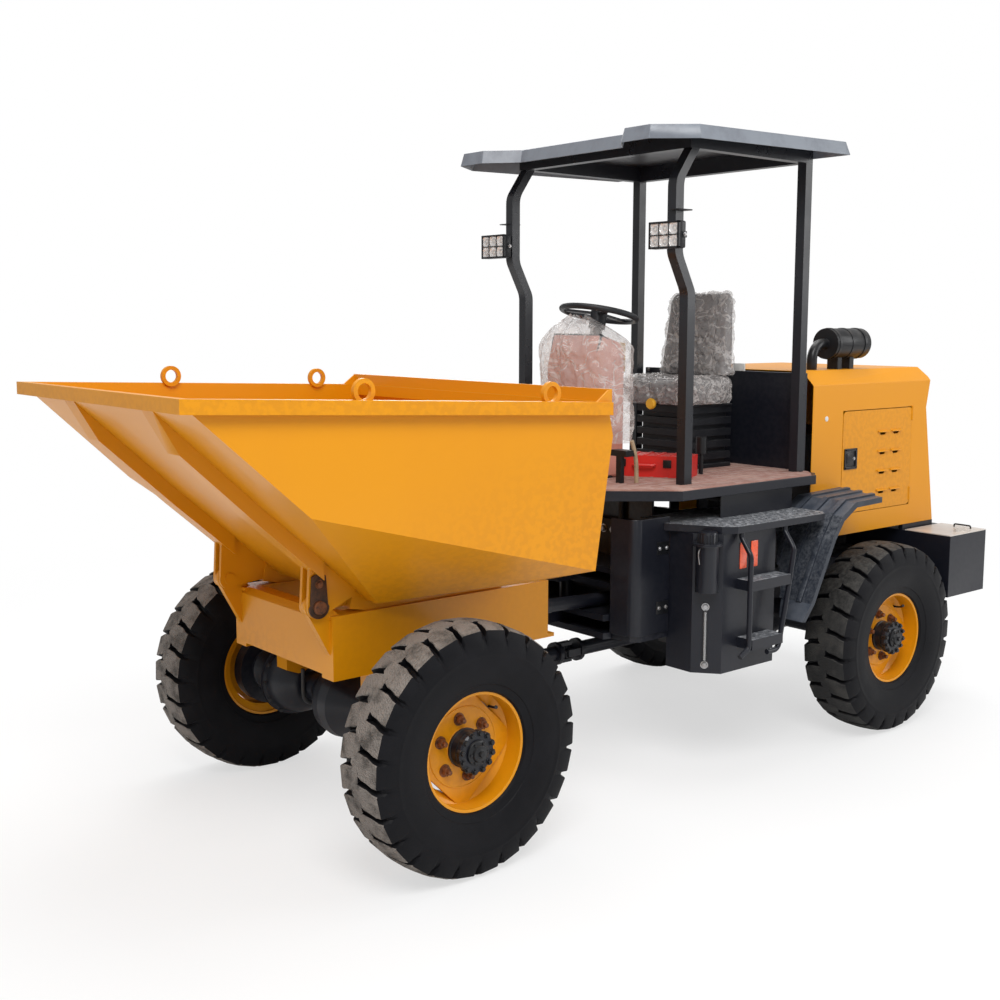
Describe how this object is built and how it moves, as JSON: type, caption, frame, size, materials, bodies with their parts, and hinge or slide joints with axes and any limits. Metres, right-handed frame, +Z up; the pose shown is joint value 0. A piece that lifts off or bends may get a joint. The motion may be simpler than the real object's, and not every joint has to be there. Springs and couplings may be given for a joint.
{
  "type": "articulated site dumper",
  "caption": "Articulated site dumper with a front-tipping skip, canopied driver platform, rear engine hood and tail box on wide tyres.",
  "frame": {"origin": "on the ground under the middle of the overall length and width", "axes": "+X forward towards the skip, +Y to the driver’s left, +Z up"},
  "size_m": [4.236, 1.67, 2.6318],
  "materials": {
    "tyre_rubber": "matt",
    "yellow_paint": "satin",
    "dark_metal": "satin",
    "roof_paint": "satin",
    "fender_plastic": "matt",
    "red_plastic": "satin",
    "chrome": "polished",
    "cast_iron": "matt",
    "navy_paint": "satin",
    "rubber": "matt",
    "black_metal": "satin",
    "pale_paint": "satin",
    "lamp_plastic": "gloss",
    "black_plastic": "matt",
    "seat_vinyl": "satin"
  },
  "bodies": {
    "rear_unit": {"rear_frame": "dark_metal", "rear_axle": "dark_metal", "rear_prop_shaft": "dark_metal", "engine": "cast_iron", "platform": "navy_paint", "firewall": "navy_paint", "tail_box": "navy_paint", "side_covers": "navy_paint", "fuel_tank": "navy_paint", "hydraulic_tank": "navy_paint", "step_plates": "navy_paint", "access_steps": "navy_paint", "tool_case": "red_plastic", "floor_mat": "rubber", "hood": "yellow_paint", "muffler": "black_metal", "front_posts": "black_metal", "rear_posts": "black_metal", "roof_frame": "black_metal", "hand_lever": "black_metal", "foot_pedals": "black_metal", "roof": "roof_paint", "work_lamps": "lamp_plastic", "steering_console": "black_plastic", "steering_wheel": "black_plastic", "seat_base": "black_plastic", "fenders": "fender_plastic", "seat_cushion": "seat_vinyl", "seat_back": "seat_vinyl"},
    "front_unit": {"front_chassis": "yellow_paint", "front_axle": "dark_metal", "hitch_tongue": "dark_metal", "front_prop_shaft": "dark_metal"},
    "skip_body": {"skip": "yellow_paint", "skip_frame": "yellow_paint"},
    "tip_barrel": {"tip_cylinder_barrel": "dark_metal"},
    "tip_rod": {"tip_cylinder_rod": "chrome"},
    "steer_barrel": {"steering_cylinder_barrel": "dark_metal"},
    "steer_rod": {"steering_cylinder_rod": "chrome"},
    "door_left": {"hood_door_left": "yellow_paint"},
    "door_right": {"hood_door_right": "yellow_paint"},
    "lid_left": {"tail_lid_left": "pale_paint"},
    "lid_right": {"tail_lid_right": "pale_paint"},
    "wheel_front_left": {"tyre_front_left": "tyre_rubber", "wheel_front_left": "yellow_paint", "hub_front_left": "dark_metal"},
    "wheel_front_right": {"tyre_front_right": "tyre_rubber", "wheel_front_right": "yellow_paint", "hub_front_right": "dark_metal"},
    "wheel_rear_left": {"tyre_rear_left": "tyre_rubber", "wheel_rear_left": "yellow_paint", "hub_rear_left": "dark_metal"},
    "wheel_rear_right": {"tyre_rear_right": "tyre_rubber", "wheel_rear_right": "yellow_paint", "hub_rear_right": "dark_metal"}
  },
  "joints": [
    {"name": "articulation", "type": "hinge", "parent": "rear_unit", "child": "front_unit", "pos_m": [0.025, 0, 0.72], "axis": [0, 0, 1], "range_deg": [-28, 28]},
    {"name": "skip_tip", "type": "hinge", "parent": "front_unit", "child": "skip_body", "pos_m": [1.487, 0, 0.903], "axis": [0, 1, 0], "range_deg": [0, 60]},
    {"name": "tip_barrel_swing", "type": "hinge", "parent": "front_unit", "child": "tip_barrel", "pos_m": [0.525, 0, 0.62], "axis": [0, 1, 0], "range_deg": [-21, 1]},
    {"name": "tip_rod_slide", "type": "slide", "parent": "tip_barrel", "child": "tip_rod", "axis": [0.932, 0, 0.3625], "range_m": [0, 0.345]},
    {"name": "steer_barrel_swing", "type": "hinge", "parent": "rear_unit", "child": "steer_barrel", "pos_m": [-0.115, 0.27, 0.716], "axis": [0, 0, 1], "range_deg": [-22, 22]},
    {"name": "steer_rod_slide", "type": "slide", "parent": "steer_barrel", "child": "steer_rod", "axis": [0.9872, -0.1592, 0], "range_m": [-0.135, 0.135]},
    {"name": "front_left_roll", "type": "hinge", "parent": "front_unit", "child": "wheel_front_left", "pos_m": [1.145, 0.7, 0.435], "axis": [0, 1, 0], "continuous": true},
    {"name": "front_right_roll", "type": "hinge", "parent": "front_unit", "child": "wheel_front_right", "pos_m": [1.145, -0.7, 0.435], "axis": [0, 1, 0], "continuous": true},
    {"name": "rear_left_roll", "type": "hinge", "parent": "rear_unit", "child": "wheel_rear_left", "pos_m": [-1.3, 0.7, 0.435], "axis": [0, 1, 0], "continuous": true},
    {"name": "rear_right_roll", "type": "hinge", "parent": "rear_unit", "child": "wheel_rear_right", "pos_m": [-1.3, -0.7, 0.435], "axis": [0, 1, 0], "continuous": true},
    {"name": "hood_door_left_swing", "type": "hinge", "parent": "rear_unit", "child": "door_left", "pos_m": [-1.8346, 0.489, 1.2], "axis": [0, 0, 1], "range_deg": [0, 100]},
    {"name": "tail_lid_left_lift", "type": "hinge", "parent": "rear_unit", "child": "lid_left", "pos_m": [-2.118, 0.62, 0.8493], "axis": [0, -1, 0], "range_deg": [0, 85]},
    {"name": "hood_door_right_swing", "type": "hinge", "parent": "rear_unit", "child": "door_right", "pos_m": [-1.8346, -0.489, 1.2], "axis": [0, 0, -1], "range_deg": [0, 100]},
    {"name": "tail_lid_right_lift", "type": "hinge", "parent": "rear_unit", "child": "lid_right", "pos_m": [-2.118, -0.62, 0.8493], "axis": [0, -1, 0], "range_deg": [0, 85]}
  ],
  "couplings": [
    {"joint": "tip_barrel_swing", "follows": "skip_tip", "ratio": -0.3402},
    {"joint": "tip_rod_slide", "follows": "skip_tip", "m_per_rad": 0.3258},
    {"joint": "steer_barrel_swing", "follows": "articulation", "ratio": 0.7232},
    {"joint": "steer_rod_slide", "follows": "articulation", "m_per_rad": -0.2405}
  ]
}
